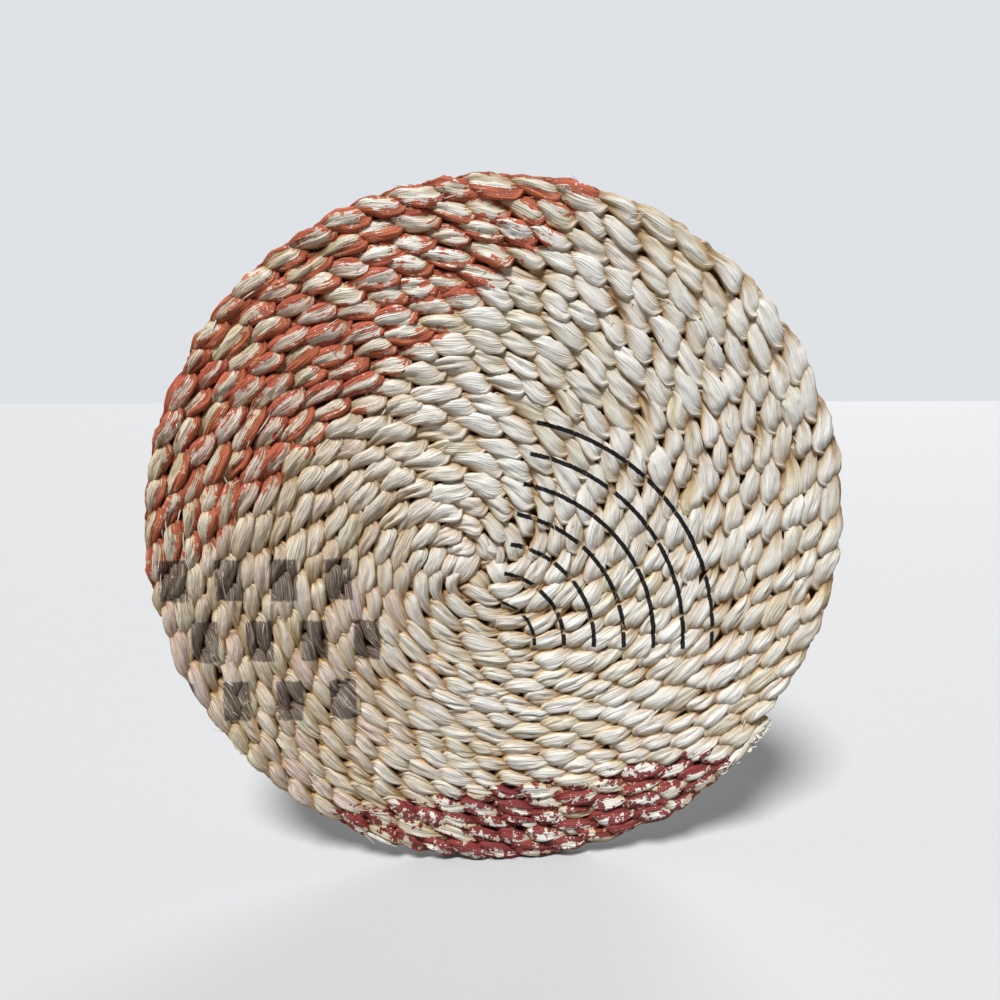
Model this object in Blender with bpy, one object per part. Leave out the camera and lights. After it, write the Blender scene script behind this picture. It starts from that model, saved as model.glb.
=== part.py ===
# Coiled wall disc: one plant-fibre braid wound on edge into a flat spiral and sewn turn to turn.
# Metres, +Z up. The face looks along -Y and the flat back lies in the plane y = 0.
import math

import bmesh
import bpy
from mathutils import Matrix, Vector, kdtree

mm = 0.001

# The braid's own sizes
braid_width = 8.7 * mm        # across one turn, in the plane of the disc
braid_depth = 15.0 * mm       # from face to back, before the back is cut flat
turn_gap = 0.5 * mm           # clear space between neighbouring turns
back_cut = 1.5 * mm           # taken off the back, a tenth of the braid's depth

# The spiral that the braid follows, counted in turns from its start
last_turn = 18.75             # where the tail ends
end_angle_degrees = -36.0
start_offset_x = -12.0 * mm   # the spiral starts off the disc's centre
start_offset_z = -11.0 * mm
origin_turn = 1.0             # the turn whose flat back carries the origin

# The start is pinched in its first bend and has a round nose, and the frayed tail is thin
start_taper_turns = 0.5
start_width_share = 0.9
nose_shares = (0.85, 0.5)     # places along the nose, as shares of half the start's width
tail_taper_turns = 0.07
tail_width_share = 0.4

# The seam's thread, in the groove that neighbouring turns leave at the back
thread_diameter = 1.0 * mm
thread_clearance = 0.3 * mm
thread_first_turn = 1.0       # the thread lies between this turn and the next one

# How finely the pieces are drawn
points_per_turn = 24
tail_steps = 2                # the last steps of the route, which are divided more finely
tail_points_per_step = 3
braid_sides = 6
thread_sides = 4
sharp_angle_degrees = 50.0
weld_share = 0.001            # points closer than this share of the thread's diameter are joined
least_turns_apart = 0.45      # points further apart than this count in the measured gap

half_turn_share = 0.5
quarter_turn_share = 0.25
turn_pitch = braid_width + turn_gap
half_depth = braid_depth / 2
depth_per_width = braid_depth / braid_width
back_height = back_cut - half_depth
weld_distance = thread_diameter * weld_share
flat_height_share = math.cos(math.pi / braid_sides)
flat_width_share = math.sin(math.pi / braid_sides)


def clear_scene():
    for old_object in list(bpy.data.objects):
        bpy.data.objects.remove(old_object, do_unlink=True)


def make_material(name, colour, roughness):
    material = bpy.data.materials.new(name)
    material.use_nodes = True
    shader = material.node_tree.nodes["Principled BSDF"]
    shader.inputs["Base Color"].default_value = (*colour, 1.0)
    shader.inputs["Roughness"].default_value = roughness
    shader.inputs["Metallic"].default_value = 0.0
    return material


def outward(turn):
    angle = math.radians(end_angle_degrees) + 2 * math.pi * (turn - last_turn)
    return Vector((math.cos(angle), math.sin(angle), 0))


# The centre drifts from the start's offset to the place that centres the outer turn's outline
def turn_centre(turn):
    start = Vector((start_offset_x, start_offset_z, 0))
    end = outward(last_turn + quarter_turn_share) * turn_pitch / math.pi
    return start.lerp(end, turn / last_turn)


def room_for_turn(turn):
    drift = turn_centre(turn + half_turn_share) - turn_centre(turn - half_turn_share)
    return turn_pitch + drift.dot(outward(turn)) - turn_gap


def ease(share):
    share = min(max(share, 0), 1)
    return share * share * (3 - 2 * share)


def start_fullness(turn):
    return start_width_share + (1 - start_width_share) * ease(turn / start_taper_turns)


def tail_fullness(turn):
    left = ease((last_turn - turn) / tail_taper_turns)
    return tail_width_share + (1 - tail_width_share) * left


# Half turns about two centres, half a pitch apart in turn, so that the middle has no hole
def spiral_point(turn):
    arc = math.floor(round(turn / half_turn_share, 6)) + 1
    reach = turn_pitch / 2 * arc
    shift = turn_pitch / 2 * (arc % 2)
    return turn_centre(turn) + outward(turn) * reach - outward(0) * shift


# Between the route's steps a point lies on the straight line that joins them.
# The thin tail keeps its inner side against the turn before it.
def braid_point(turn):
    before = math.floor(round(turn * points_per_turn, 6)) / points_per_turn
    after = before + 1 / points_per_turn
    on_line = spiral_point(before).lerp(spiral_point(after), (turn - before) * points_per_turn)
    spare = (1 - tail_fullness(turn)) * room_for_turn(turn) / 2
    return on_line - outward(turn) * spare


def braid_radius(turn):
    return room_for_turn(turn) / 2 * start_fullness(turn) * tail_fullness(turn)


# The route as rows of turn, point and half width, from the nose to the tail
def braid_route():
    steps = round(last_turn * points_per_turn)
    turns = [step / points_per_turn for step in range(steps - tail_steps)]
    for tail_point in range(tail_steps * tail_points_per_step + 1):
        step = steps - tail_steps + tail_point / tail_points_per_step
        turns.append(step / points_per_turn)
    route = [(turn, braid_point(turn), braid_radius(turn)) for turn in turns]
    start_radius = braid_radius(0)
    heading = outward(quarter_turn_share)
    nose = []
    for share in nose_shares:
        point = braid_point(0) - heading * start_radius * share
        nose.append((0, point, start_radius * math.sqrt(1 - share * share)))
    return nose + route


# A closed tube through points in the local XY plane, as a mesh with welded caps
def make_tube(name, points, radii, sides):
    curve = bpy.data.curves.new(name + "_route", "CURVE")
    curve.dimensions = "3D"
    curve.twist_mode = "Z_UP"
    curve.fill_mode = "FULL"
    curve.use_fill_caps = True
    curve.bevel_depth = max(radii)
    curve.bevel_resolution = (sides - 4) // 2
    spline = curve.splines.new("POLY")
    spline.points.add(len(points) - 1)
    for spline_point, point, radius in zip(spline.points, points, radii):
        spline_point.co = (*point, 1.0)
        spline_point.radius = radius / curve.bevel_depth
    route = bpy.data.objects.new(name + "_route", curve)
    bpy.context.scene.collection.objects.link(route)
    evaluated = route.evaluated_get(bpy.context.evaluated_depsgraph_get())
    mesh = bpy.data.meshes.new_from_object(evaluated)
    mesh.name = name
    bpy.data.objects.remove(route, do_unlink=True)
    tube = bmesh.new()
    tube.from_mesh(mesh)
    bmesh.ops.remove_doubles(tube, verts=tube.verts, dist=weld_distance)
    bmesh.ops.recalc_face_normals(tube, faces=tube.faces)
    return mesh, tube


# Moves a mesh from the spiral's plane to the wall: the back to y = 0 and the origin on its turn
def place_on_wall(tube):
    origin = braid_point(origin_turn) + Vector((0, 0, back_height))
    bmesh.ops.translate(tube, vec=-origin, verts=tube.verts)
    bmesh.ops.rotate(tube, matrix=Matrix.Rotation(math.pi / 2, 3, "X"), verts=tube.verts)


def finish_piece(name, mesh, tube, material, collection):
    tube.to_mesh(mesh)
    tube.free()
    mesh.shade_smooth()
    mesh.set_sharp_from_angle(angle=math.radians(sharp_angle_degrees))
    mesh.materials.clear()
    mesh.materials.append(material)
    piece = bpy.data.objects.new(name, mesh)
    collection.objects.link(piece)
    return piece


# The least distance between points of the braid's sides that are about half a turn apart or more
def least_gap(route):
    sides = []
    for turn, point, radius in route:
        for direction in (-1, 1):
            sides.append((turn, point + outward(turn) * radius * direction))
    tree = kdtree.KDTree(len(sides))
    for index, (turn, place) in enumerate(sides):
        tree.insert(place, index)
    tree.balance()
    gaps = []
    for turn, place in sides:
        for found, index, distance in tree.find_range(place, turn_pitch):
            if abs(sides[index][0] - turn) > least_turns_apart:
                gaps.append(distance)
    return min(gaps)


def make_braid_coil(collection):
    route = braid_route()
    turns, points, radii = zip(*route)
    mesh, tube = make_tube("braid_coil", points, radii, braid_sides)
    bmesh.ops.scale(tube, vec=(1, 1, depth_per_width / flat_height_share), verts=tube.verts)
    cut = bmesh.ops.bisect_plane(
        tube,
        geom=tube.verts[:] + tube.edges[:] + tube.faces[:],
        dist=weld_distance,
        plane_co=(0, 0, back_height),
        plane_no=(0, 0, -1),
        clear_outer=True,
    )
    cut_edges = [item for item in cut["geom_cut"] if isinstance(item, bmesh.types.BMEdge)]
    back = bmesh.ops.holes_fill(tube, edges=cut_edges, sides=0)["faces"]
    bmesh.ops.triangulate(tube, faces=back, ngon_method="BEAUTY")
    bmesh.ops.recalc_face_normals(tube, faces=tube.faces)
    place_on_wall(tube)
    husk = make_material("plaited_husk", (0.62, 0.55, 0.42), 0.75)
    print("braid_coil: least gap to itself", round(least_gap(route) / mm, 2), "mm")
    length = sum((end - start).length for start, end in zip(points, points[1:]))
    print("braid_coil: braid length", round(length, 2), "m in", len(points), "points")
    return finish_piece("braid_coil", mesh, tube, husk, collection)


# Half way between two turns, as deep in the groove as its sides leave the thread its clearance
def make_sewing_thread(collection):
    side_slope = (1 - flat_width_share) / depth_per_width
    half_room = (thread_diameter / 2 + thread_clearance) / math.cos(math.atan(side_slope))
    thread_depth = max(half_room - turn_gap / 2, 0) / side_slope
    thread_last_turn = last_turn - tail_taper_turns - 1
    step_count = math.floor((thread_last_turn - thread_first_turn) * points_per_turn)
    points = []
    for step in range(step_count + 1):
        turn = thread_first_turn + step / points_per_turn
        middle = braid_point(turn).lerp(braid_point(turn + 1), 0.5)
        points.append(middle - Vector((0, 0, thread_depth)))
    radii = [thread_diameter / 2] * len(points)
    mesh, tube = make_tube("sewing_thread", points, radii, thread_sides)
    place_on_wall(tube)
    cotton = make_material("seam_cotton", (0.71, 0.66, 0.55), 0.6)
    length = sum((end - start).length for start, end in zip(points, points[1:]))
    print("sewing_thread: length", round(length, 2), "m,", round(thread_depth / mm, 2), "mm deep")
    return finish_piece("sewing_thread", mesh, tube, cotton, collection)


def build():
    clear_scene()
    collection = bpy.data.collections.new("coiled_wall_disc")
    bpy.context.scene.collection.children.link(collection)
    make_braid_coil(collection)
    make_sewing_thread(collection)


build()
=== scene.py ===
# Plaited wall disc: three strands of husk braided, wound on edge into a flat spiral and sewn
import math

import bmesh
import bpy
import numpy as np
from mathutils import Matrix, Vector


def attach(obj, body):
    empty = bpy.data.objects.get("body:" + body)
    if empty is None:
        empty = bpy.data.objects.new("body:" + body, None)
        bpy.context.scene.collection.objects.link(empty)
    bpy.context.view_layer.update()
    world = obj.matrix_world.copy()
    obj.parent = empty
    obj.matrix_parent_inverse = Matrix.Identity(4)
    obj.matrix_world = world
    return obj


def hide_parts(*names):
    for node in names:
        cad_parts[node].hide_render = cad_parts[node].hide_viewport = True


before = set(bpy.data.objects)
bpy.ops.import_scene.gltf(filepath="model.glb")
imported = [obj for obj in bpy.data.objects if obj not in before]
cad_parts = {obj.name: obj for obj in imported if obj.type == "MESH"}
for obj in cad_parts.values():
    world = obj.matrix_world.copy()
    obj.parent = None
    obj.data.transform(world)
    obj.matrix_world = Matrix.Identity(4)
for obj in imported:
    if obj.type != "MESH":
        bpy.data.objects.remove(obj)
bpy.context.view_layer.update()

mm = 0.001
scene = bpy.context.scene


# The route that the CAD braid follows, in the plane of the disc, with turns counted from the start
route = {
    "braidWidth": 8.7 * mm,
    "gap": 0.5 * mm,
    "lastTurn": 18.75,
    "endAngle": math.radians(-36),
    "startOffset": (-12 * mm, -11 * mm),
    "originTurn": 1.0,
    "samplesPerTurn": 240,
    "startRun": 5 * mm,        # the strands' ends stand this far back from the first bend
}
pitch = route["braidWidth"] + route["gap"]


def outward(turn):
    angle = route["endAngle"] + 2 * math.pi * (turn - route["lastTurn"])
    return np.stack((np.cos(angle), np.sin(angle)), axis=-1)


def turnCentre(turn):
    start = np.array(route["startOffset"])
    end = outward(np.asarray(route["lastTurn"] + 0.25)) * pitch / math.pi
    return start + (end - start) * (np.asarray(turn) / route["lastTurn"])[..., None]


def halfRoom(turn):
    drift = turnCentre(turn + 0.5) - turnCentre(turn - 0.5)
    return (pitch + (drift * outward(turn)).sum(axis=-1)) / 2


def spiralPoint(turn):
    arc = np.floor(np.round(turn / 0.5, 6)) + 1
    reach = pitch / 2 * arc
    shift = pitch / 2 * (arc % 2)
    middle = turnCentre(turn) - outward(np.asarray(0.0)) * shift[..., None]
    return middle + outward(turn) * reach[..., None]


class Route:
    # the centre line by length along it: place, outward direction and half the room of the turn
    def __init__(self):
        count = int(route["lastTurn"] * route["samplesPerTurn"])
        self.turns = np.linspace(0, route["lastTurn"] - 1e-9, count + 1)
        origin = spiralPoint(np.asarray(route["originTurn"]))
        self.points = spiralPoint(self.turns) - origin
        steps = np.linalg.norm(np.diff(self.points, axis=0), axis=1)
        self.lengths = np.concatenate(([0], np.cumsum(steps)))
        self.length = self.lengths[-1]
        before = self.points[0] - outward(np.asarray(0.25)) * route["startRun"]
        self.points = np.vstack((before, self.points))
        self.lengths = np.concatenate(([-route["startRun"]], self.lengths))
        self.turns = np.concatenate(([0], self.turns))

    def at(self, length):
        turn = np.interp(length, self.lengths, self.turns)
        x = np.interp(length, self.lengths, self.points[:, 0])
        z = np.interp(length, self.lengths, self.points[:, 1])
        side = outward(turn)
        return turn, x, z, side


centreLine = Route()
print("route:", round(centreLine.length, 3), "m")


# The braid: each strand runs from face to back and swings across the turn twice in a period
braid = {
    "period": 51.6 * mm,       # three lobes of 17.2 mm
    "middle": -7.1 * mm,       # the mid plane of the braid, in Y
    "lift": 4.3 * mm,          # how far a strand's centre swings to the face and to the back
    "thickness": 2.8 * mm,     # half, at a lobe's crown
    "egg": 0.4,                # thinner on the outer side where strands cross
    "facets": 5,               # a strand is a folded ribbon, with a few flat sides
    "facetShare": 1.25,
    "cornerReach": 1.07,
    "ringsPerPeriod": 36,
    "sides": 24,
    "crowding": 0.22,          # draws the sides' lines to the face and the back
    "piecesPerStrand": 2,
    "lengthDrift": 0.24,       # lobes are longer and shorter by this share
    "spareLobes": 24,
    "tightTurns": 4.5,         # the first turns bend sharply, so their lobes are short and cross
    "tightLength": 0.66,
    "tightSwing": 1.45,
    "tightWidth": 0.86,
    "backWidth": 1.14,         # the lobes at the back are pressed wider
    "besideLimit": (0.94, 1.30),         # where a lobe is first held, and its limit, in half rooms
    "rimLimit": (0.86, 1.02),            # the same where nothing lies beside the last turn
    "rimCrown": (0.30, 0.55),            # and what a lobe's crown adds there
    "rimTurns": (1.05, 0.1),             # the free rim's length, and how soon it begins, in turns
    "depthLimit": (6.3 * mm, 7.1 * mm),
    "thinEndDepth": 0.35,
    "firstTurn": 0.8,          # the strands start here, under the folded ends
    "startTaper": 17 * mm,
    "startFullness": 0.6,
    "tailTaper": 0.07,         # turns
    "tailFullness": 0.45,
    "seed": 7,
}


# One lobe from its blunt low end to its pointed tip. Across and width are shares of half the room
lobeShape = {
    "place": (0.0, 0.06, 0.14, 0.30, 0.50, 0.70, 0.85, 0.94),
    "height": (0.0, 0.50, 0.82, 1.00, 0.98, 0.80, 0.50, 0.22),
    "across": (0.04, -0.26, -0.38, -0.25, 0.08, 0.43, 0.59, 0.42),
    "width": (1.38, 1.30, 1.24, 1.28, 1.22, 0.94, 0.64, 1.08),
    "thick": (0.90, 0.80, 0.92, 1.02, 1.00, 0.88, 0.72, 0.76),
    "tilt": (-45, -25, -8, 0, 0, 8, 24, 38),
    "softness": 0.065,         # in lobes
    "samples": 200,            # to a lobe
}

# How unlike one another the lobes are: the least and the most of each measure
lobeSpread = {
    "lift": (-0.9 * mm, 0.45 * mm),
    "swing": (0.55, 1.45),
    "width": (0.84, 1.18),
    "thick": (0.84, 1.16),
    "aside": (-0.11, 0.11),
    "roll": (-17, 17),         # degrees
    "lean": (-0.13, 0.13),     # moves a lobe's fullest place towards one end
    "facet": (-0.5, 0.5),
    "twist": (-1.1, 1.1),
}

# and the same for each fold that is pressed into a lobe
foldsPerLobe = 4
foldSpread = {
    "place": (-0.9, 0.9),
    "slant": (-0.7, 0.7),
    "depth": (0.2 * mm, 1.1 * mm),
    "spread": (0.09, 0.22),
}


def lobeProfile(name, lobe):
    # the lobe's row read at any place along a strand, softened; back lobes are mirrored in depth
    mirrored = -1 if name in ("height", "tilt") else 1
    front = lobeShape[name]
    knots = list(lobeShape["place"]) + [1 + place for place in lobeShape["place"]] + [2]
    values = list(front) + [mirrored * value for value in front] + [front[0]]
    fine = np.linspace(0, 2, 2 * lobeShape["samples"] + 1)[:-1]
    reach = int(lobeShape["samples"] * lobeShape["softness"])
    weights = np.hanning(2 * reach + 1)
    row = np.interp(fine, knots, values)
    padded = np.concatenate((row[-reach:], row, row[:reach]))
    soft = np.convolve(padded, weights / weights.sum(), "valid")
    return np.interp(lobe % 2, np.append(fine, 2), np.append(soft, soft[0]))


def ease(share):
    share = np.clip(share, 0, 1)
    return share * share * (3 - 2 * share)


def nearLimit(value, start, limit):
    # leaves a value alone up to start, and lets it near the limit but not pass it
    size = np.abs(value)
    spare = limit - start
    squeezed = start + spare * np.tanh((size - start) / spare)
    return np.sign(value) * np.where(size > start, squeezed, size)


def perLobe(values, lobe):
    # one value for each lobe, which changes to the next one where the strand is hidden
    number = np.floor(lobe - 0.5).astype(int)
    share = ease((lobe - 0.5 - number) * 2 - 0.5)
    last = len(values) - 1
    this, following = values[np.clip(number, 0, last)], values[np.clip(number + 1, 0, last)]
    return this * (1 - share) + following * share


def lobeValues(draw, count):
    values = {name: draw.uniform(*spread, count) for name, spread in lobeSpread.items()}
    for fold in range(foldsPerLobe):
        for side in ("face", "back"):
            for name, spread in foldSpread.items():
                values[name, side, fold] = draw.uniform(*spread, count)
    return values


def firstLength():
    return np.interp(braid["firstTurn"], centreLine.turns[1:], centreLine.lengths[1:])


def facetted(angle):
    # how far a ring's corner stands out where the ring is part polygon and part circle
    step = 2 * math.pi / braid["facets"]
    flatSide = math.cos(step / 2) / np.cos(angle % step - step / 2)
    return braid["cornerReach"] - braid["facetShare"] * (1 - flatSide)


def foldLine(cosine, place, spread):
    return np.exp(-np.abs((cosine - place) / spread) ** 1.4)


def between(least, share):
    return least + (1 - least) * ease(share)


def ringAngles():
    return 2 * math.pi * np.arange(braid["sides"] + 1) / braid["sides"] + math.pi


# Where a strand's rings lie: across the turn, in depth, then in the disc's own place
def strandPlaces(length, strand, values, lengthPhase):
    turn, x, z, out = centreLine.at(length)
    room = halfRoom(turn)
    tailFull = between(braid["tailFullness"], (route["lastTurn"] - turn) / braid["tailTaper"])
    startFull = between(braid["startFullness"], (length - firstLength()) / braid["startTaper"])
    full = (tailFull * startFull)[:, None]
    tight = 1 - ease(turn / braid["tightTurns"])
    phase = lengthPhase + 2 * math.pi * strand / 3
    lobe = phase / math.pi
    sine = np.sin(phase)
    crown = np.abs(sine)
    sway = np.sin(2 * phase) / 2       # runs from one side of a lobe's middle to the other
    swayed = lobe + perLobe(values["lean"], lobe) * crown
    height = braid["lift"] * lobeProfile("height", swayed) + perLobe(values["lift"], lobe) * crown
    swing = perLobe(values["swing"], lobe) * (1 + (braid["tightSwing"] - 1) * tight)
    across = lobeProfile("across", swayed) * swing + perLobe(values["aside"], lobe)
    tilt = np.radians(lobeProfile("tilt", lobe) + perLobe(values["roll"], lobe) * crown)
    width = lobeProfile("width", swayed) * room * perLobe(values["width"], lobe)
    width = width * (1 + (braid["tightWidth"] - 1) * tight)
    width = width * (1 + (braid["backWidth"] - 1) * np.clip(-3 * sine, 0, 1))
    thick = braid["thickness"] * lobeProfile("thick", swayed) * perLobe(values["thick"], lobe)

    angle = ringAngles()
    angle = angle + braid["crowding"] * np.sin(2 * angle)
    turned = perLobe(values["facet"], lobe) + perLobe(values["twist"], lobe) * sway
    ribbon = facetted(angle[None, :] - turned[:, None])
    cosine, sineOfAngle = np.cos(angle), np.sin(angle)
    dent = np.zeros((len(length), len(angle)))
    for fold in range(foldsPerLobe):
        for side, sign in (("face", 1), ("back", -1)):
            measures = (perLobe(values[name, side, fold], lobe) for name in foldSpread)
            place, slant, depth, spread = measures
            place = (place + slant * sway)[:, None]
            line = foldLine(cosine[None, :], place, spread[:, None]) * (sineOfAngle * sign > 0)
            dent = dent + depth[:, None] * line * crown[:, None]
    flat = width[:, None] * cosine[None, :] * ribbon
    egg = 1 - braid["egg"] * (1 - crown)[:, None] * cosine[None, :]
    proud = (thick[:, None] * egg * ribbon - dent) * sineOfAngle[None, :]
    cosTilt, sinTilt = np.cos(tilt)[:, None], np.sin(tilt)[:, None]
    u = (across * room)[:, None] + flat * cosTilt - proud * sinTilt
    v = height[:, None] + flat * sinTilt + proud * cosTilt
    u = u / room[:, None]
    beside = nearLimit(u, *braid["besideLimit"])
    # the last turn has no neighbour outside it, so its crowns stand further out
    rimTurns, rimStart = braid["rimTurns"]
    rim = ease((turn - route["lastTurn"] + rimTurns) / rimStart)[:, None] * (u > 0)
    rimLimits = zip(braid["rimLimit"], braid["rimCrown"])
    free = nearLimit(u, *(limit + more * crown[:, None] for limit, more in rimLimits))
    u = (beside + (free - beside) * rim) * room[:, None] * full - ((1 - tailFull) * room)[:, None]
    thinned = braid["thinEndDepth"] + (1 - braid["thinEndDepth"]) * full
    v = nearLimit(v, *braid["depthLimit"]) * thinned
    places = x[:, None] + out[:, :1] * u, braid["middle"] - v, z[:, None] + out[:, 1:] * u
    return np.stack(places, axis=-1)


sewWithin = 0.001 * mm


# A piece made of tubes. Each tube is a flat grid whose corners are moved to rings of places and
# then sewn shut. Its flow map runs along it in U and round it in V, where the whole part of V is
# the strand's number.
def makeTubes(name, tubes, node, material):
    whole = bmesh.new()
    whole.loops.layers.uv.new("flow")
    for places, along, strand in tubes:
        rings, sides = places.shape[0] - 1, places.shape[1] - 1
        mesh = bpy.data.meshes.new(name)
        work = bmesh.new()
        work.loops.layers.uv.new("flow")
        bmesh.ops.create_grid(work, x_segments=rings, y_segments=sides, size=0.5, calc_uvs=True)
        work.to_mesh(mesh)
        work.free()
        grid = np.empty(len(mesh.vertices) * 3)
        mesh.vertices.foreach_get("co", grid)
        ring = np.rint((grid[0::3] + 0.5) * rings).astype(int)
        side = np.rint((grid[1::3] + 0.5) * sides).astype(int)
        mesh.vertices.foreach_set("co", places[ring, side].ravel())
        flow = mesh.uv_layers["flow"].uv
        corners = np.empty(len(flow) * 2)
        flow.foreach_get("vector", corners)
        corners[0::2] = along[np.rint(corners[0::2] * rings).astype(int)]
        corners[1::2] = corners[1::2] * 0.998 + 0.001 + strand     # V keeps off whole numbers
        flow.foreach_set("vector", corners)
        whole.from_mesh(mesh)
        bpy.data.meshes.remove(mesh)
    bmesh.ops.remove_doubles(whole, verts=whole.verts, dist=sewWithin)
    bmesh.ops.holes_fill(whole, edges=[edge for edge in whole.edges if edge.is_boundary], sides=0)
    bmesh.ops.recalc_face_normals(whole, faces=whole.faces)
    mesh = bpy.data.meshes.new(name)
    whole.to_mesh(mesh)
    whole.free()
    mesh.shade_smooth()
    mesh.materials.append(material)
    piece = bpy.data.objects.new(name, mesh)
    scene.collection.objects.link(piece)
    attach(piece, "root")
    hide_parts(node)
    return piece


def makeBraid(material):
    draw = np.random.default_rng(braid["seed"])
    spacing = braid["period"] / braid["ringsPerPeriod"]
    rings = int((centreLine.length - firstLength()) / spacing)
    lobes = 2 * rings // braid["ringsPerPeriod"] + braid["spareLobes"]
    ringLengths = firstLength() + np.arange(rings + 1) * spacing
    # one shared drift of the lobes' length, so that the strands keep their order
    lobesAlong = 3 * np.arange(rings + 1) / braid["ringsPerPeriod"]
    steps = 1 + braid["lengthDrift"] * perLobe(draw.uniform(-1, 1, 2 * lobes), lobesAlong)
    turns = np.interp(ringLengths, centreLine.lengths, centreLine.turns)
    steps = steps / between(braid["tightLength"], turns / braid["tightTurns"])
    ringPhases = 2 * math.pi * np.cumsum(steps) / braid["ringsPerPeriod"]
    pieces = []
    for strand in range(3):
        values = lobeValues(draw, lobes)
        cuts = np.linspace(0, rings, braid["piecesPerStrand"] + 1).astype(int)
        for number, (first, last) in enumerate(zip(cuts, cuts[1:])):
            name = f"braid_strand_{strand + 1}_{number + 1}"
            phases = ringPhases[first:last + 1]
            places = strandPlaces(ringLengths[first:last + 1], strand, values, phases)
            tubes = [(places, phases / math.pi + 2 * strand / 3, strand)]
            pieces.append(makeTubes(name, tubes, "braid_coil", material))
    faces = sum(len(piece.data.polygons) for piece in pieces)
    print("braid:", faces, "faces in", len(pieces), "pieces")
    return pieces


def onBraid(length, across, proud):
    # a place beside the centre line: metres outward in the disc's plane and towards the face
    turn, x, z, out = centreLine.at(np.asarray(length))
    places = x + out[..., 0] * across, braid["middle"] - proud, z + out[..., 1] * across
    return np.stack(places, axis=-1)


def stripAlong(points, halfWidth, halfThickness, sides, twist=0.0, taper=0.25, startAngle=0.0):
    # rings of a flat strip round a line of points, thinner towards both ends
    count = len(points)
    share = np.linspace(0, 1, count)
    heading = np.gradient(points, axis=0)
    heading /= np.linalg.norm(heading, axis=1)[:, None]
    toFace = np.array((0.0, -1.0, 0.0))
    sideways = np.cross(heading, toFace)
    sideways /= np.linalg.norm(sideways, axis=1)[:, None]
    upward = np.cross(sideways, heading)
    turned = (startAngle + twist * share)[:, None]
    first = sideways * np.cos(turned) + upward * np.sin(turned)
    second = upward * np.cos(turned) - sideways * np.sin(turned)
    fullness = (0.3 + 0.7 * ease(share / taper) * ease((1 - share) / taper))[:, None, None]
    angle = 2 * math.pi * (np.arange(sides + 1) % sides) / sides
    ring = first[:, None] * (halfWidth * np.cos(angle))[None, :, None]
    ring = ring + second[:, None] * (halfThickness * np.sin(angle))[None, :, None]
    return points[:, None] + ring * fullness


# The frayed tail: the strands' ends come apart into flat pale strips, with a curl near the tip
tail = {
    "strips": 22,
    "from": (26 * mm, 42 * mm),      # how far before the route's end the strips start
    "to": (2 * mm, 13 * mm),         # and end
    "startAcross": (-3.4 * mm, 3.2 * mm),
    "endAcross": (-4.4 * mm, -1.4 * mm),
    "proud": (-5.0 * mm, 6.2 * mm),
    "halfWidth": (0.8 * mm, 1.9 * mm),
    "twist": (-1.5, 1.5),
    "halfThickness": 0.35 * mm,
    "rings": 18,
    "sides": 6,
    "taper": 0.2,
    "sway": 0.5 * mm,
    "ripple": 0.4 * mm,
    "sink": 0.35,                    # the share of its height that a strip loses on the way
    "swayWaves": (4, 9),
    "rippleWaves": (4, 8),
    "startTurn": (-0.8, 0.8),
    "stubs": (                       # the three strands' own ends: across, proud and twist
        ((-2.6 * mm, -3.6 * mm), 1.0 * mm, 0.0),
        ((-2.6 * mm, -2.6 * mm), 2.6 * mm, 0.6),
        ((-2.6 * mm, -1.6 * mm), 4.2 * mm, 1.2),
    ),
    "stubRun": (16 * mm, -4 * mm),
    "stubHalfWidth": 1.3 * mm,
    "curlBefore": 13 * mm,
    "curlRadius": 2.6 * mm,
    "curlTurn": (-0.6, math.pi + 1.4),
    "curlSize": (1.3 * mm, 0.3 * mm),
    "splinters": 70,
    "seed": 31,
}

splinter = {
    "start": (4 * mm, 40 * mm),      # before the route's end
    "side": (-2.5 * mm, 2.2 * mm),
    "length": (3 * mm, 9 * mm),
    "lean": (0.5 * mm, 2.6 * mm),
    "proud": (0 * mm, 6 * mm),
    "halfWidth": (0.15 * mm, 0.45 * mm),
}


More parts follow.
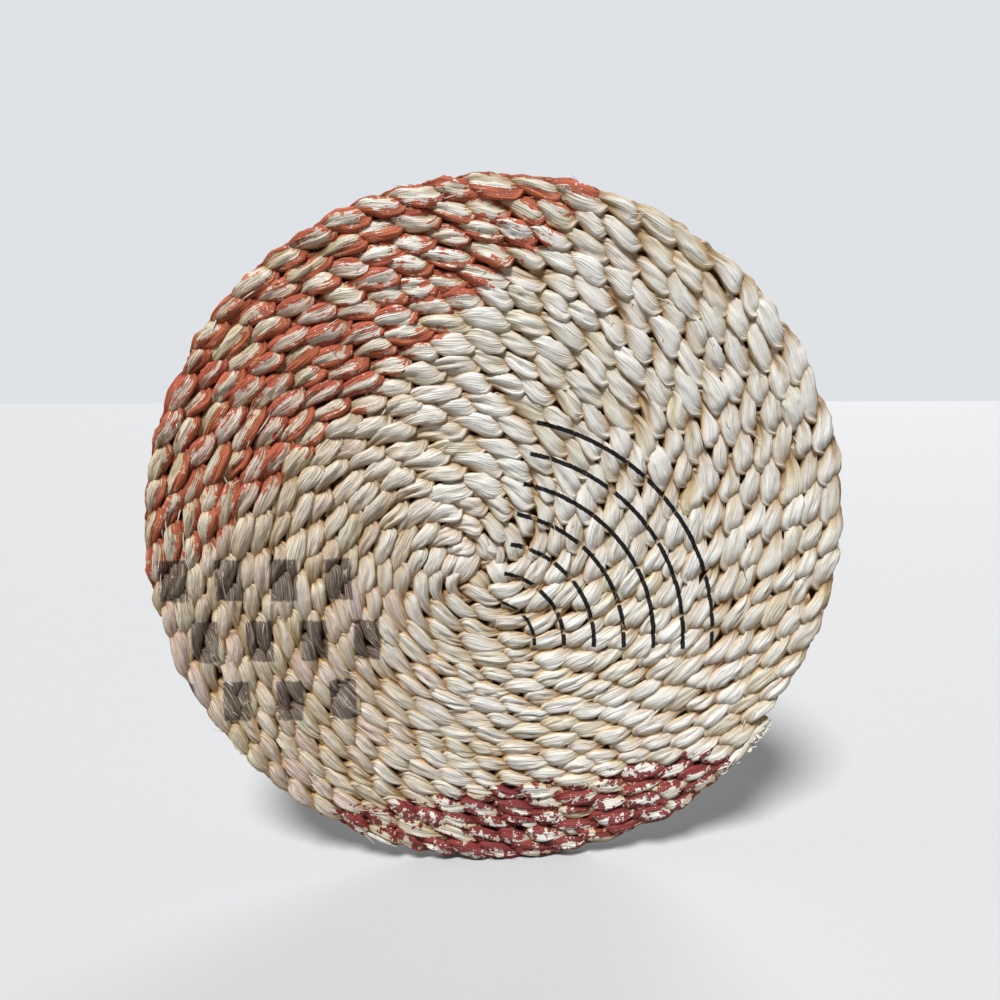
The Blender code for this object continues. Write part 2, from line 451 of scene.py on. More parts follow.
def makeTail(material):
    draw = np.random.default_rng(tail["seed"])
    end = centreLine.length
    tubes = []
    share = np.linspace(0, 1, tail["rings"])

    def addStrip(start, stop, across, proud, halfWidth, twist):
        waves = share * draw.uniform(*tail["swayWaves"]) + draw.uniform(0, 6)
        sway = tail["sway"] * np.sin(waves)
        aside = across[0] * (1 - share) + across[1] * share + sway
        ripple = tail["ripple"] * np.sin(share * draw.uniform(*tail["rippleWaves"]))
        lift = proud * (1 - tail["sink"] * share) + ripple
        points = onBraid(end - start + (start - stop) * share, aside, lift)
        places = stripAlong(points, halfWidth, tail["halfThickness"], tail["sides"], twist,
                            tail["taper"], draw.uniform(*tail["startTurn"]))
        tubes.append((places, len(tubes) + 0.3 + share * 1.4, len(tubes) % 3))

    for number in range(tail["strips"]):
        start, stop = draw.uniform(*tail["from"]), draw.uniform(*tail["to"])
        across = draw.uniform(*tail["startAcross"]), draw.uniform(*tail["endAcross"])
        proud, halfWidth = draw.uniform(*tail["proud"]), draw.uniform(*tail["halfWidth"])
        addStrip(start, stop, across, proud, halfWidth, draw.uniform(*tail["twist"]))
    for across, proud, twist in tail["stubs"]:
        addStrip(*tail["stubRun"], across, proud, tail["stubHalfWidth"], twist)
    for number in range(tail["splinters"]):
        start, side = draw.uniform(*splinter["start"]), draw.uniform(*splinter["side"])
        stop = start - draw.uniform(*splinter["length"])
        across = side, side + draw.uniform(*splinter["lean"])
        proud, halfWidth = draw.uniform(*splinter["proud"]), draw.uniform(*splinter["halfWidth"])
        addStrip(start, stop, across, proud, halfWidth, 0.0)
    bearing = np.linspace(*tail["curlTurn"], tail["rings"])
    ahead = end - tail["curlBefore"] + tail["curlRadius"] * np.cos(bearing)
    aside = tail["curlRadius"] * np.sin(bearing) - 0.6 * mm
    curl = onBraid(ahead, aside, 4.5 * mm + 0.6 * mm * np.sin(bearing * 2))
    places = stripAlong(curl, *tail["curlSize"], tail["sides"], 1.2, 0.15, 0.5)
    tubes.append((places, 70 + share * 2, 1))
    piece = makeTubes("frayed_tail", tubes, "braid_coil", material)
    print("tail:", len(piece.data.polygons), "faces")
    return piece


# The braid's start: the strands' ends, folded over the middle of the first turns
start = {
    # place in X and Z, length, half width, direction, the crown's height over the braid's mid
    # plane (below 0 at the back) and bend, in millimetres and degrees
    "ends": (
        (-13.3, -8.8, 25.0, 7.2, 58, 6.9, 0.6),
        (-2.2, -0.6, 20.0, 5.6, -33, 6.7, -0.8),
        (2.1, -12.9, 20.0, 6.2, -62, 6.8, 1.0),
        (-7.1, -17.6, 18.0, 5.2, -45, 6.2, 0.6),
        (-3.0, -7.6, 13.0, 4.0, 22, 5.0, 0.4),
        (-4.5, -9.0, 36.0, 14.0, 58, 2.2, 0.0),
        (-10.5, -9.5, 26.0, 6.4, 52, -6.8, 0.8),
        (0.5, -6.0, 24.0, 6.0, 64, -6.6, -0.6),
        (-3.5, -18.0, 22.0, 5.6, -38, -6.5, 0.6),
    ),
    "halfThickness": 2.7 * mm,
    "drop": 4.6 * mm,          # how far an end's tips lie below its crown
    "tipWidth": 0.35,          # shares of an end's full width and thickness, at its tips
    "tipThickness": 0.45,
    "depthLimit": 6.9 * mm,
    "lean": 9,                 # degrees, either way
    "firstLobe": 900,          # a number of its own for each end, for its tint
    "rings": 22,
    "seed": 12,
}


def makeStart(material):
    draw = np.random.default_rng(start["seed"])
    share = np.linspace(0, 1, start["rings"])
    arch = np.sin(share * math.pi)
    angle = ringAngles()
    tubes = []
    for number, (x, z, length, halfWidth, direction, crown, bend) in enumerate(start["ends"]):
        heading = math.radians(direction)
        ahead = (share - 0.5) * length * mm
        side = bend * mm * arch
        centreX = x * mm + ahead * math.cos(heading) - side * math.sin(heading)
        centreZ = z * mm + ahead * math.sin(heading) + side * math.cos(heading)
        raised = abs(crown) * mm - start["halfThickness"] - start["drop"] * (1 - arch ** 0.7)
        centreHeight = math.copysign(1, crown) * raised
        wide = start["tipWidth"] + (1 - start["tipWidth"]) * arch ** 0.75
        width = halfWidth * mm * wide
        full = start["tipThickness"] + (1 - start["tipThickness"]) * arch ** 0.8
        thick = start["halfThickness"] * full
        ribbon = facetted(angle - draw.uniform(-0.5, 0.5))
        dent = np.zeros(len(angle))
        for fold in range(foldsPerLobe):
            place, spread = draw.uniform(-0.8, 0.8), draw.uniform(*foldSpread["spread"])
            depth = draw.uniform(*foldSpread["depth"])
            dent = dent + depth * foldLine(np.cos(angle), place, spread)
        flat = width[:, None] * (np.cos(angle) * ribbon)[None, :]
        proud = thick[:, None] * ribbon[None, :] - dent[None, :] * arch[:, None]
        proud = proud * np.sin(angle)[None, :]
        lean = math.radians(draw.uniform(-start["lean"], start["lean"]))
        across = flat * math.cos(lean) - proud * math.sin(lean)
        up = flat * math.sin(lean) + proud * math.cos(lean) + centreHeight[:, None]
        up = np.clip(up, -start["depthLimit"], start["depthLimit"])
        places = np.stack((centreX[:, None] - across * math.sin(heading), braid["middle"] - up,
                           centreZ[:, None] + across * math.cos(heading)), axis=-1)
        tubes.append((places, start["firstLobe"] + number + 0.02 + share * 0.96, number % 3))
    piece = makeTubes("braid_start", tubes, "braid_coil", material)
    print("start:", len(piece.data.polygons), "faces")
    return piece


# Torn fibres that stand out of the gaps between lobes, and a few past the rim
fibres = {
    "onFace": 120,
    "onRim": 30,
    "run": (3 * mm, 13 * mm),
    "bend": 2.2 * mm,
    "radius": (0.10 * mm, 0.24 * mm),
    "rings": 8,
    "faceSide": (2.5 * mm, 4.4 * mm),
    "faceRoot": 3.5 * mm,            # heights over the braid's mid plane
    "faceTip": (6.6 * mm, 8.2 * mm),
    "rimRadius": 170 * mm,
    "rimRoot": (0 * mm, 4 * mm),
    "rimTip": (0 * mm, 6 * mm),
    "rimAcross": (3.6 * mm, 5.0 * mm, 7.2 * mm),     # where one leaves the rim, and its tip's reach
    "tuftAt": math.radians(-114),
    "tuftFibres": 12,
    "tuftRun": (6 * mm, 20 * mm),
    "tuftWidth": 8 * mm,
    "tuftAcross": (3.0 * mm, 3.5 * mm, 7.5 * mm),
    "tuftRoot": 4.0 * mm,
    "tuftTip": (5.0 * mm, 8.4 * mm),
    "seed": 53,
}


def makeFibres(material):
    draw = np.random.default_rng(fibres["seed"])
    tubes = []
    share = np.linspace(0, 1, fibres["rings"])

    def addFibre(length, across, lift, run, number):
        bend = draw.uniform(-fibres["bend"], fibres["bend"])
        aside = across[0] + (across[1] - across[0]) * share + bend * share ** 2
        points = onBraid(length + run * share, aside, lift[0] + (lift[1] - lift[0]) * share ** 0.6)
        radius = draw.uniform(*fibres["radius"])
        places = stripAlong(points, radius * 1.6, radius, 4, 0.0, 0.4)
        tubes.append((places, number + share, number % 3))

    for number in range(fibres["onFace"]):
        length = centreLine.length * math.sqrt(draw.uniform(0.002, 0.97))
        side = draw.choice((-1, 1)) * draw.uniform(*fibres["faceSide"])
        run = draw.choice((-1, 1)) * draw.uniform(*fibres["run"])
        across = side, side * draw.uniform(-0.2, 1.0)
        lift = fibres["faceRoot"], draw.uniform(*fibres["faceTip"])
        addFibre(length, across, lift, run, number)
    rimLength = 2 * math.pi * fibres["rimRadius"]
    rimLeaves, *rimReach = fibres["rimAcross"]
    for number in range(fibres["onRim"]):
        length = centreLine.length - draw.uniform(0.04, 0.98) * rimLength
        run = draw.choice((-1, 1)) * draw.uniform(*fibres["run"])
        across = rimLeaves, draw.uniform(*rimReach)
        lift = draw.uniform(*fibres["rimRoot"]), draw.uniform(*fibres["rimTip"])
        addFibre(length, across, lift, run, number)
    turn = route["lastTurn"] + (fibres["tuftAt"] - route["endAngle"]) / (2 * math.pi)
    tuft = np.interp(turn, centreLine.turns, centreLine.lengths)
    tuftLeaves, *tuftReach = fibres["tuftAcross"]
    for number in range(fibres["tuftFibres"]):
        run = draw.uniform(*fibres["tuftRun"])
        length = tuft - draw.uniform(0, fibres["tuftWidth"])
        across = tuftLeaves, draw.uniform(*tuftReach)
        lift = fibres["tuftRoot"], draw.uniform(*fibres["tuftTip"])
        addFibre(length, across, lift, run, number)
    piece = makeTubes("torn_fibres", tubes, "braid_coil", material)
    print("fibres:", len(tubes))
    return piece


# The sewing thread, in the groove between two turns behind the mid plane, with its stitches
thread = {
    "firstTurn": 1.0,
    "lastTurn": 17.68,
    "radius": 0.5 * mm,
    "depth": -3.1 * mm,
    "stitch": 11 * mm,
    "stitchAcross": 1.5 * mm,
    "stitchDepth": 0.8 * mm,
    "plyLength": 2 * mm,
    "pointEvery": 2.2 * mm,
    "sides": 5,
}


def makeThread(material):
    start = np.interp(thread["firstTurn"], centreLine.turns, centreLine.lengths)
    stop = np.interp(thread["lastTurn"], centreLine.turns, centreLine.lengths)
    length = np.linspace(start, stop, int((stop - start) / thread["pointEvery"]))
    turn = np.interp(length, centreLine.lengths, centreLine.turns)
    room = halfRoom(turn)
    stitches = 2 * math.pi * length / thread["stitch"]
    wave = np.sin(stitches)
    across = room + thread["stitchAcross"] * wave * np.abs(wave)
    points = onBraid(length, across, thread["depth"] + thread["stitchDepth"] * np.cos(2 * stitches))
    places = stripAlong(points, thread["radius"], thread["radius"], thread["sides"], 0.0, 0.001)
    tubes = [(places, length / thread["plyLength"], 0)]
    piece = makeTubes("seam_thread", tubes, "sewing_thread", material)
    print("thread:", len(piece.data.polygons), "faces")
    return piece


# Shader maths as plain expressions: a Wire wraps one socket
class Wire:
    def __init__(self, finish, socket):
        self.finish = finish
        self.socket = socket

    def maths(self, operation, first, second=0.0):
        return self.finish.node("ShaderNodeMath", {"operation": operation}, {0: first, 1: second})

    def __add__(self, other):
        return self.maths("ADD", self, other)

    def __radd__(self, other):
        return self.maths("ADD", other, self)

    def __sub__(self, other):
        return self.maths("SUBTRACT", self, other)

    def __rsub__(self, other):
        return self.maths("SUBTRACT", other, self)

    def __mul__(self, other):
        return self.maths("MULTIPLY", self, other)

    def __rmul__(self, other):
        return self.maths("MULTIPLY", other, self)

    def __truediv__(self, other):
        return self.maths("DIVIDE", self, other)

    def floor(self):
        return self.maths("FLOOR", self)

    def fraction(self):
        return self.maths("FRACT", self)

    def size(self):
        return self.maths("ABSOLUTE", self)

    def root(self):
        return self.maths("SQRT", self)

    def cosine(self):
        return self.maths("COSINE", self)

    def sine(self):
        return self.maths("SINE", self)

    def least(self, other):
        return self.maths("MINIMUM", self, other)

    def most(self, other):
        return self.maths("MAXIMUM", self, other)

    def rise(self, low, high):
        # 0 below low and 1 above high, with a soft change between them
        settings = {"interpolation_type": "SMOOTHSTEP"}
        sockets = {"Value": self, "From Min": low, "From Max": high}
        return self.finish.node("ShaderNodeMapRange", settings, sockets)

    def fall(self, low, high):
        return 1 - self.rise(low, high)


class Finish:
    # a material in the making: node() adds any node, and mix() blends two colours
    def __init__(self, name, roughness):
        self.material = bpy.data.materials.new(name)
        self.material.use_nodes = True
        self.tree = self.material.node_tree
        self.shader = self.tree.nodes["Principled BSDF"]
        self.shader.inputs["Roughness"].default_value = roughness
        self.shader.inputs["Specular IOR Level"].default_value = 0.2

    def node(self, kind, settings=None, sockets=None, output=0):
        added = self.tree.nodes.new(kind)
        for name, value in (settings or {}).items():
            setattr(added, name, value)
        for name, value in (sockets or {}).items():
            self.join(value, added.inputs[name])
        return Wire(self, added.outputs[output])

    def join(self, value, socket):
        if isinstance(value, Wire):
            self.tree.links.new(value.socket, socket)
        else:
            socket.default_value = value

    def mix(self, share, first, second):
        colours = [value if isinstance(value, Wire) else (*value, 1) for value in (first, second)]
        sockets = {0: share, 6: colours[0], 7: colours[1]}
        return self.node("ShaderNodeMix", {"data_type": "RGBA"}, sockets, 2)

    def parts(self, vector):
        return [self.node("ShaderNodeSeparateXYZ", None, {0: vector}, axis) for axis in range(3)]

    def together(self, x, y, z=0.0):
        return self.node("ShaderNodeCombineXYZ", None, {0: x, 1: y, 2: z})

    def noise(self, vector, detail, roughness, dimensions="3D"):
        settings = {"noise_dimensions": dimensions}
        sockets = {"Vector": vector, "Scale": 1.0, "Detail": detail, "Roughness": roughness}
        return self.node("ShaderNodeTexNoise", settings, sockets)

    def chance(self, x, y, z=0.0):
        place = self.together(x, y, z)
        return self.node("ShaderNodeTexWhiteNoise", {"noise_dimensions": "3D"}, {"Vector": place})

    def colour(self, value):
        self.join(value, self.shader.inputs["Base Color"])

    def roughness(self, value):
        self.join(value, self.shader.inputs["Roughness"])

    def coat(self, weight, roughness):
        self.join(weight, self.shader.inputs["Coat Weight"])
        self.shader.inputs["Coat Roughness"].default_value = roughness

    def bump(self, height, distance, strength=1.0):
        sockets = {"Height": height, "Distance": distance, "Strength": strength}
        self.join(self.node("ShaderNodeBump", None, sockets), self.shader.inputs["Normal"])


# Dry husk, paler on the crowns as painted highlight and brown between the lobes as painted shade,
# with dry paint brushed over the face
huskColours = {
    "cream": (0.615, 0.56, 0.445),
    "white": (0.92, 0.915, 0.875),
    "leftwardCream": (0.54, 0.40, 0.25),
    "leftwardWhite": (0.93, 0.79, 0.60),
    "straw": (0.66, 0.555, 0.315),
    "tan": (0.50, 0.30, 0.095),
    "pink": (0.66, 0.42, 0.36),
    "hollow": (0.25, 0.135, 0.052),
    "crease": (0.31, 0.205, 0.09),
    "leftwardFrom": (20 * mm, -120 * mm),    # the left half is warmer and a little darker
    "hollowAt": (0.8 * mm, 5.3 * mm),    # heights over the braid's mid plane
    "edgeAt": (2.6 * mm, 6.0 * mm),
    "crownAt": (5.2 * mm, 6.8 * mm),
}

leaf = {
    "count": 8,                # round a strand
    "wander": 2.4,
    "rise": 0.6 * mm,
}

# Noise that runs with the fibres: where it starts, how fast it changes along and round a strand,
# its detail and its roughness
grain = {
    "wander": (20, 1.1, 1.2, 1.0, 0.5),
    "fine": (0, 1.2, 8, 4.0, 0.65),
    "wrinkles": (140, 0.9, 4.2, 2.0, 0.5),
    "crumple": (200, 3.6, 3.2, 3.0, 0.6),
    "folds": (40, 0.7, 2.2, 2.0, 0.5),
    "streaks": (60, 0.5, 3.4, 3.0, 0.6),
    "blotch": (80, 1.3, 0.9, 2.0, 0.6),
    "brushed": (120, 2.4, 2.6, 3.0, 0.6),
    "rubbed": (180, 2.0, 3.2, 4.0, 0.65),
}

# A generic layout of plain fields, bars and ripples, in metres from the middle of the disc. Each
# paint is a pair of shades, the lighter one first.
paint = {
    "middle": (3.8 * mm, 1.2 * mm),
    "rust": ((0.61, 0.172, 0.072), (0.42, 0.070, 0.040)),
    "rustTowards": math.radians(131),
    "rustFrom": 96 * mm,
    "burgundy": ((0.29, 0.032, 0.031), (0.17, 0.017, 0.020)),
    "burgundyTowards": math.radians(-82),
    "burgundyFrom": 131 * mm,
    "taupe": ((0.15, 0.108, 0.088), (0.10, 0.068, 0.055)),
    "barSpacing": (27 * mm, 32 * mm),
    "barSize": (6.5 * mm, 10.5 * mm),    # half sizes
    "barField": (-118 * mm, -48 * mm, 57 * mm, 48 * mm),     # middle and half size
    "black": ((0.010, 0.009, 0.009), (0.006, 0.005, 0.005)),
    "rippleMiddle": (-6 * mm, -52 * mm),
    "rippleSpacing": 15.5 * mm,
    "rippleReach": (22 * mm, 122 * mm),
    "rippleTowards": math.radians(38),
    "rippleSpread": math.radians(40),
    "lineWidth": 2.3 * mm,
    "patchPlace": 0.71,        # the worn patch of a lobe, round a strand whose crown is at 0.75
    "patchWidth": 0.13,
    "patchLength": 0.47,
    "faceDepth": (-8.6 * mm, -7.6 * mm),       # the fields and bars end between these depths,
    "lineDepth": (-11.6 * mm, -11.0 * mm),     # and the lines, which only touch the crowns, here
    "ragged": (14 * mm, 6 * mm),
    "wobble": 3 * mm,
    "cover": {"rust": 0.96, "burgundy": 0.96, "taupe": 0.92, "black": 1.0},
}

# What has worn off each field: by the lobes' patches, in chips, in long streaks, and everywhere
wear = {
    "rust": (0.62, 2.4, 3.6, 0.04),
    "burgundy": (0.34, 3.4, 0.0, 0.0),
}


def fieldBeyond(x, z, name, wobble):
    towards, distance = paint[name + "Towards"], paint[name + "From"]
    ahead = x * math.cos(towards) + z * math.sin(towards) + wobble
    return ahead.rise(distance - 0.3 * mm, distance + 0.3 * mm)


def makeHusk():
    finish = Finish("plaitedHusk", 0.72)
    flow = finish.node("ShaderNodeUVMap", {"uv_map": "flow"})
    along, around, _ = finish.parts(flow)
    x, y, z = finish.parts(finish.node("ShaderNodeTexCoord", None, None, 3))
    lobe, strand = along.floor(), around.floor()
    tint, second, third = (finish.chance(lobe, strand, number) for number in range(3))
    turnOfFibres = around + second * 0.3

    angle = turnOfFibres * (2 * math.pi)
    cosine, sine = angle.cosine(), angle.sine()

    def grainOf(name):
        begin, pace, spread, detail, rough = grain[name]
        place = finish.together(along * pace + begin, cosine * spread, sine * spread)
        return finish.noise(place, detail, rough)

    # a strand is folded of narrow leaves whose edges lie over one another
    leaves = turnOfFibres * leaf["count"] + (grainOf("wander") - 0.5) * leaf["wander"]
    leafNumber, withinLeaf = leaves.floor(), leaves.fraction()
    leafTint = finish.chance(lobe * 7 + leafNumber, strand, 5)
    leafEdge = withinLeaf.fall(0.0, 0.12) * leafTint.rise(0.25, 0.6)
    fine, crumple, folds = grainOf("fine"), grainOf("crumple"), grainOf("folds")
    streaks, blotch = grainOf("streaks"), grainOf("blotch")
    brushed, rubbed = grainOf("brushed"), grainOf("rubbed")
    wrinkles = (grainOf("wrinkles") - 0.5).size()
    creases = (folds - 0.5).size().fall(0.0, 0.02) * blotch.rise(0.45, 0.6)
    creases = creases + wrinkles.fall(0.0, 0.04) * leafTint

    height = (y - braid["middle"]).size()
    deep = height.fall(*huskColours["hollowAt"])
    edge = height.fall(*huskColours["edgeAt"])
    leftward = x.fall(huskColours["leftwardFrom"][1], huskColours["leftwardFrom"][0])
    lined = 0.25 + leftward * 0.65     # the fibres' dark lines are plainer on the left half

    paleness = tint * 0.62 + leafTint * 0.38
    plain = finish.mix(paleness, huskColours["cream"], huskColours["white"])
    leftwardColour = finish.mix(paleness, huskColours["leftwardCream"], huskColours["leftwardWhite"])
    colour = finish.mix(leftward * 0.85 + blotch * 0.15, plain, leftwardColour)
    layers = (
        (streaks.rise(0.52, 0.7) * (0.1 + 0.45 * second), "straw"),
        (second.rise(0.65, 1.0) * 0.55, "straw"),
        (third.rise(0.45, 1.0) * (0.1 + 0.55 * leftward), "pink"),
        # painted highlight: the crowns are whiter, less so on the left half
        (height.rise(*huskColours["crownAt"]) * (1 - leftward * 0.7) * 0.65, "white"),
        # painted shade: tan along one side of each strand and on the lobes' low sides, over the
        # husk's own golden edges
        (around.fraction().rise(0.88, 0.99) * (0.3 + 0.7 * tint), "tan"),
        ((edge * (0.5 + streaks * 0.9)).least(1.0), "tan"),
        # the fibres' dark and pale lines follow the bump's noises: fibre grain, with painted shade
        # in its valleys and under the leaves' edges and painted highlight on its ridges
        (crumple.fall(0.30, 0.46) * 0.25 * lined, "crease"),
        (fine.rise(0.50, 0.66) * 0.5, "white"),
        (fine.fall(0.34, 0.50) * 0.4 * lined, "crease"),
        (leafEdge * 0.22 * lined + creases * (0.22 + leftward * 0.1), "crease"),
        # painted shade, over the husk's browner colour deep in the braid, darkens the gaps between
        # lobes
        (deep, "hollow"),
    )
    for share, name in layers:
        colour = finish.mix(share, colour, huskColours[name])

    # the paint keeps to the face and frays along the fibres, and each lobe has a worn patch
    fromX, fromZ = x - paint["middle"][0], z - paint["middle"][1]
    face = y.fall(*paint["faceDepth"])
    ragged = (brushed - 0.5) * paint["ragged"][0] + (tint - 0.5) * paint["ragged"][1]
    patchPlace = paint["patchPlace"] + (third - 0.5) * 0.2
    patchAcross = (around.fraction() - patchPlace) / (paint["patchWidth"] * (0.7 + 0.6 * tint))
    patchAlong = (along.fraction() - 0.5) / paint["patchLength"]
    patch = (1 - patchAcross * patchAcross - patchAlong * patchAlong).most(-1.0)
    chipped = finish.noise(finish.together(x * 260, y * 120, z * 260), 3.0, 0.55)
    specks = finish.noise(finish.together(x * 900, y * 500, z * 900), 1.0, 0.5)
    worn = (specks - 0.62).most(0.0) * 6 + (brushed - 0.5) * 0.8 + (second - 0.5) * 0.5

    def wornOff(name):
        patches, chips, streaking, everywhere = wear[name]
        taken = patch * patches + (chipped - 0.5) * chips + (rubbed - 0.5) * streaking
        return worn + taken + everywhere

    streaked, chippedOff = wornOff("rust"), wornOff("burgundy")
    rust = fieldBeyond(fromX, fromZ, "rust", ragged) * face * streaked.fall(0.02, 0.14)
    burgundy = fieldBeyond(fromX, fromZ, "burgundy", ragged) * face * chippedOff.fall(0.02, 0.12)

    fieldX, fieldZ, halfX, halfZ = paint["barField"]
    inField = (fromX - fieldX).size().fall(halfX - mm, halfX)
    inField = inField * (fromZ - fieldZ).size().fall(halfZ - mm, halfZ)
    stepX, stepZ = paint["barSpacing"]
    row = (fromZ / stepZ).floor()
    barX = ((fromX / stepX + row * 0.5).fraction() - 0.5).size() * stepX
    barZ = ((fromZ / stepZ).fraction() - 0.5).size() * stepZ
    wobble = (brushed - 0.5) * paint["wobble"]
    bars = inField * face * (streaked - 1.05).fall(0.0, 0.3) * (1 - fine.rise(0.5, 0.62) * 0.45)
    for distance, half in zip((barX, barZ), paint["barSize"]):
        bars = bars * (distance + wobble).fall(half - 0.4 * mm, half + 0.8 * mm)

    rippleX, rippleZ = fromX - paint["rippleMiddle"][0], fromZ - paint["rippleMiddle"][1]
    reach = (rippleX * rippleX + rippleZ * rippleZ).root()
    ring = ((reach / paint["rippleSpacing"]).fraction() - 0.5).size() * paint["rippleSpacing"]
    bearing = (rippleZ.maths("ARCTAN2", rippleZ, rippleX) - paint["rippleTowards"]).size()
    halfLine = paint["lineWidth"] / 2 * (0.7 + 0.6 * brushed)
    lines = ((ring + (fine - 0.5) * 0.8 * mm) / halfLine).fall(0.85, 1.1)
    lines = lines * bearing.fall(paint["rippleSpread"], paint["rippleSpread"] + 0.01)
    nearest, furthest = paint["rippleReach"]
    lines = lines * reach.rise(nearest, nearest + mm) * reach.fall(furthest, furthest + mm)
    lines = lines * y.fall(*paint["lineDepth"]) * (1 - (fine - 0.16).rise(0.5, 0.6))

    shaded = (edge * 0.5 + deep * 0.4 + fine.fall(0.32, 0.5) * 0.3).least(1.0)
    masks = {"rust": rust, "burgundy": burgundy, "taupe": bars, "black": lines}
    for name, mask in masks.items():
        painted = finish.mix(streaks.rise(0.35, 0.65) * 0.6 + third * 0.4, *paint[name])
        painted = finish.mix(shaded, painted, [channel * 0.40 for channel in paint[name][1]])
        colour = finish.mix(mask * paint["cover"][name], colour, painted)
    finish.colour(colour)
    painted = (rust + burgundy + bars + lines).least(1.0)
    finish.roughness(0.52 + 0.16 * painted + 0.2 * deep)
    finish.coat(0.35 * (1 - painted) * (1 - edge * 0.7), 0.34)
    relief = withinLeaf.rise(0.0, 0.2) * (1 - withinLeaf * 0.9) * leafTint.rise(0.1, 0.5)
    relief = relief + folds * 2.0 + wrinkles * 3.2 + fine * 0.8 + crumple * 1.4
    finish.bump(relief * (0.50 + leftward * 0.40), leaf["rise"])     # smoother on the right half
    print("husk:", len(finish.tree.nodes), "nodes")
    return finish.material


# Bare torn husk, pale and streaked, as at the frayed tail
dryColours = {
    "pale": (0.88, 0.86, 0.81),
    "cream": (0.76, 0.70, 0.56),
    "streak": (0.42, 0.32, 0.20),
}


def makeDryFibre():
    finish = Finish("dryFibre", 0.8)
    along, around, _ = finish.parts(finish.node("ShaderNodeUVMap", {"uv_map": "flow"}))
    streaks = finish.noise(finish.together(along * 2, around * 14), 3.0, 0.6, "2D")
    tint = finish.chance(along.floor(), around.floor())
    colour = finish.mix(tint, dryColours["pale"], dryColours["cream"])
    finish.colour(finish.mix(streaks.fall(0.3, 0.55) * 0.5, colour, dryColours["streak"]))
    finish.bump(streaks, 0.4 * mm, 0.7)
    return finish.material


# Two plies twisted round each other, with painted shade where they meet
cottonColours = {
    "groove": (0.42, 0.36, 0.26),
    "ply": (0.72, 0.66, 0.54),
}


def makeThreadFinish():
    finish = Finish("seamCotton", 0.85)
    along, around, _ = finish.parts(finish.node("ShaderNodeUVMap", {"uv_map": "flow"}))
    plies = ((along + around * 2) * (2 * math.pi)).sine() * 0.5 + 0.5
    fuzz = finish.noise(finish.together(along * 3, around * 8), 2.0, 0.5, "2D")
    # painted shade: the thread is darker between the plies, where the bump is low
    shade = plies * 0.6 + fuzz * 0.4
    finish.colour(finish.mix(shade, cottonColours["groove"], cottonColours["ply"]))
    finish.bump(plies, 0.3 * mm, 0.8)
    return finish.material


husk, dryFibre = makeHusk(), makeDryFibre()
makeBraid(husk)
makeStart(husk)
makeTail(dryFibre)
makeFibres(dryFibre)
makeThread(makeThreadFinish())


# The floor, the lamps and the camera
studio = {
    "floorHeight": -175.3 * mm,
    "floorSize": 4,
    "floorRoughness": 0.9,
    "floorColour": (0.50, 0.505, 0.51),
    "floorBounce": (0.24, 0.235, 0.23),      # the floor's colour for the light it throws back
    "discMiddle": (3.8 * mm, -8 * mm, 1.2 * mm),
    "cameraFromDisc": (-18 * mm, -368 * mm, 94 * mm),
    "cameraForward": (0.048, 0.981, -0.190),
    "lens": 27,
    "skyColour": (0.86, 0.92, 1.0),
    "skyStrength": 0.10,
    "backdropColour": (0.74, 0.76, 0.79),
    "keyPower": 4.35,
    "keySpread": 16,
    "keyPlace": (-0.22, -0.50, 0.95),
    "backPower": 1.6,
    "backSpread": 40,
    "backPlace": (0.5, 1.0, 0.55),
}


def seenDirectly(tree):
    # 1 for the lens and for gloss, and 0 for the light that falls on the disc
    paths = tree.nodes.new("ShaderNodeLightPath")
    seen = paths.outputs["Is Camera Ray"]
    for ray in ("Is Glossy Ray", "Is Transmission Ray"):
        either = tree.nodes.new("ShaderNodeMath")
        either.operation = "MAXIMUM"
        tree.links.new(seen, either.inputs[0])
        tree.links.new(paths.outputs[ray], either.inputs[1])
        seen = either.outputs[0]
    return seen


def makeFloorFinish():
    material = bpy.data.materials.new("studioFloor")
    material.use_nodes = True
    tree = material.node_tree
    shader = tree.nodes["Principled BSDF"]
    shader.inputs["Roughness"].default_value = studio["floorRoughness"]
    choice = tree.nodes.new("ShaderNodeMix")
    choice.data_type = "RGBA"
    choice.inputs[6].default_value = (*studio["floorBounce"], 1)
    choice.inputs[7].default_value = (*studio["floorColour"], 1)
    tree.links.new(seenDirectly(tree), choice.inputs[0])
    tree.links.new(choice.outputs[2], shader.inputs["Base Color"])
    return material


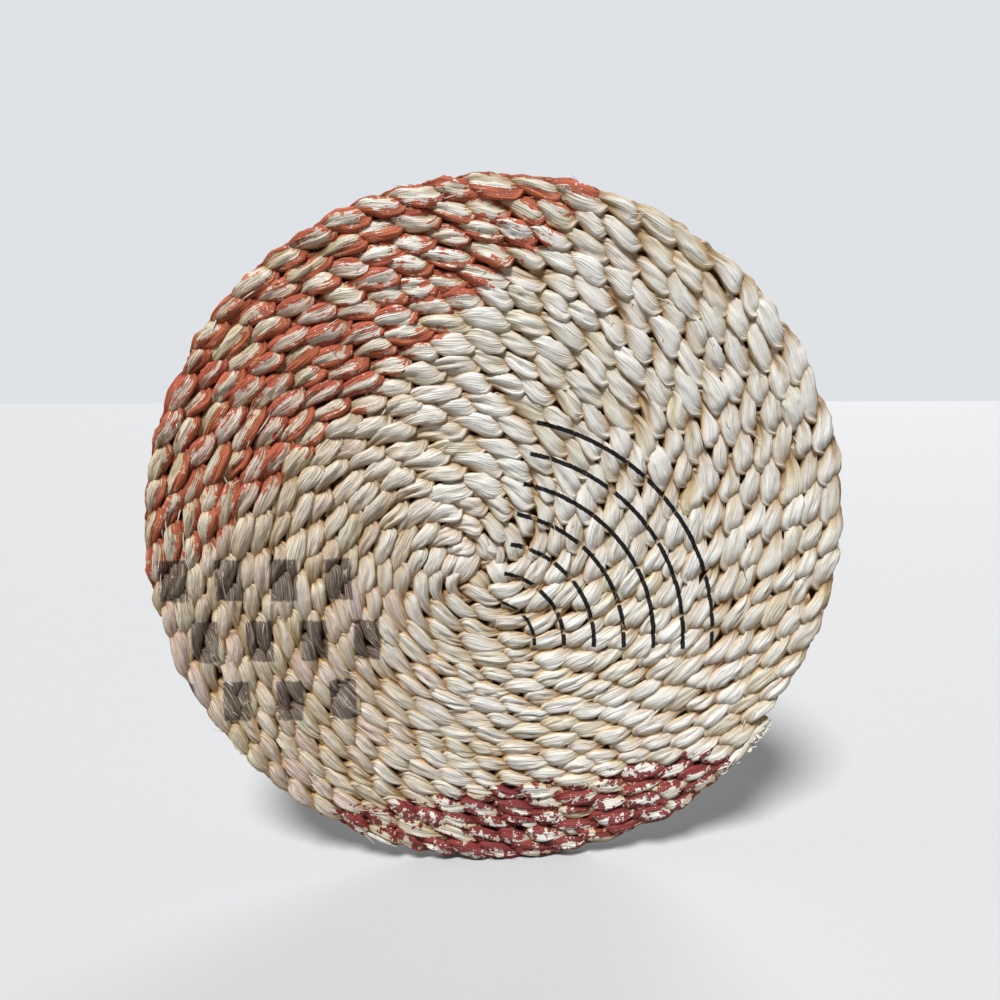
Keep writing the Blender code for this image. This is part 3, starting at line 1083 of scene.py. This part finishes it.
def makeFloor():
    work = bmesh.new()
    bmesh.ops.create_grid(work, x_segments=1, y_segments=1, size=studio["floorSize"])
    bmesh.ops.translate(work, verts=work.verts, vec=(0, 0, studio["floorHeight"]))
    mesh = bpy.data.meshes.new("studio_floor")
    work.to_mesh(mesh)
    work.free()
    floor = bpy.data.objects.new("studio_floor", mesh)
    scene.collection.objects.link(floor)
    mesh.materials.append(makeFloorFinish())


def makeSky():
    # the lens and gloss see a paler background than the one that lights the disc
    world = bpy.data.worlds.new("studio")
    scene.world = world
    world.use_nodes = True
    tree = world.node_tree
    shading = tree.nodes["Background"]
    shading.inputs["Color"].default_value = (*studio["skyColour"], 1)
    shading.inputs["Strength"].default_value = studio["skyStrength"]
    seen = tree.nodes.new("ShaderNodeBackground")
    seen.inputs["Color"].default_value = (*studio["backdropColour"], 1)
    choice = tree.nodes.new("ShaderNodeMixShader")
    tree.links.new(seenDirectly(tree), choice.inputs[0])
    tree.links.new(shading.outputs[0], choice.inputs[1])
    tree.links.new(seen.outputs[0], choice.inputs[2])
    tree.links.new(choice.outputs[0], tree.nodes["World Output"].inputs["Surface"])


def makeLamp(side):
    lamp = bpy.data.lights.new(side + "Lamp", "SUN")
    lamp.energy = studio[side + "Power"]
    lamp.angle = math.radians(studio[side + "Spread"])
    sun = bpy.data.objects.new(side + "Lamp", lamp)
    sun.location = studio[side + "Place"]
    sun.rotation_euler = (-sun.location).to_track_quat("-Z", "Y").to_euler()
    scene.collection.objects.link(sun)


def makeCamera():
    view = bpy.data.cameras.new("photoCamera")
    view.lens = studio["lens"]
    camera = bpy.data.objects.new("photoCamera", view)
    camera.location = Vector(studio["discMiddle"]) + Vector(studio["cameraFromDisc"])
    camera.rotation_euler = Vector(studio["cameraForward"]).to_track_quat("-Z", "Y").to_euler()
    scene.collection.objects.link(camera)
    scene.camera = camera


makeFloor()
makeSky()
makeLamp("key")
makeLamp("back")
makeCamera()
scene.view_settings.view_transform = "Standard"
print("studio: floor, sky, two lamps and camera")
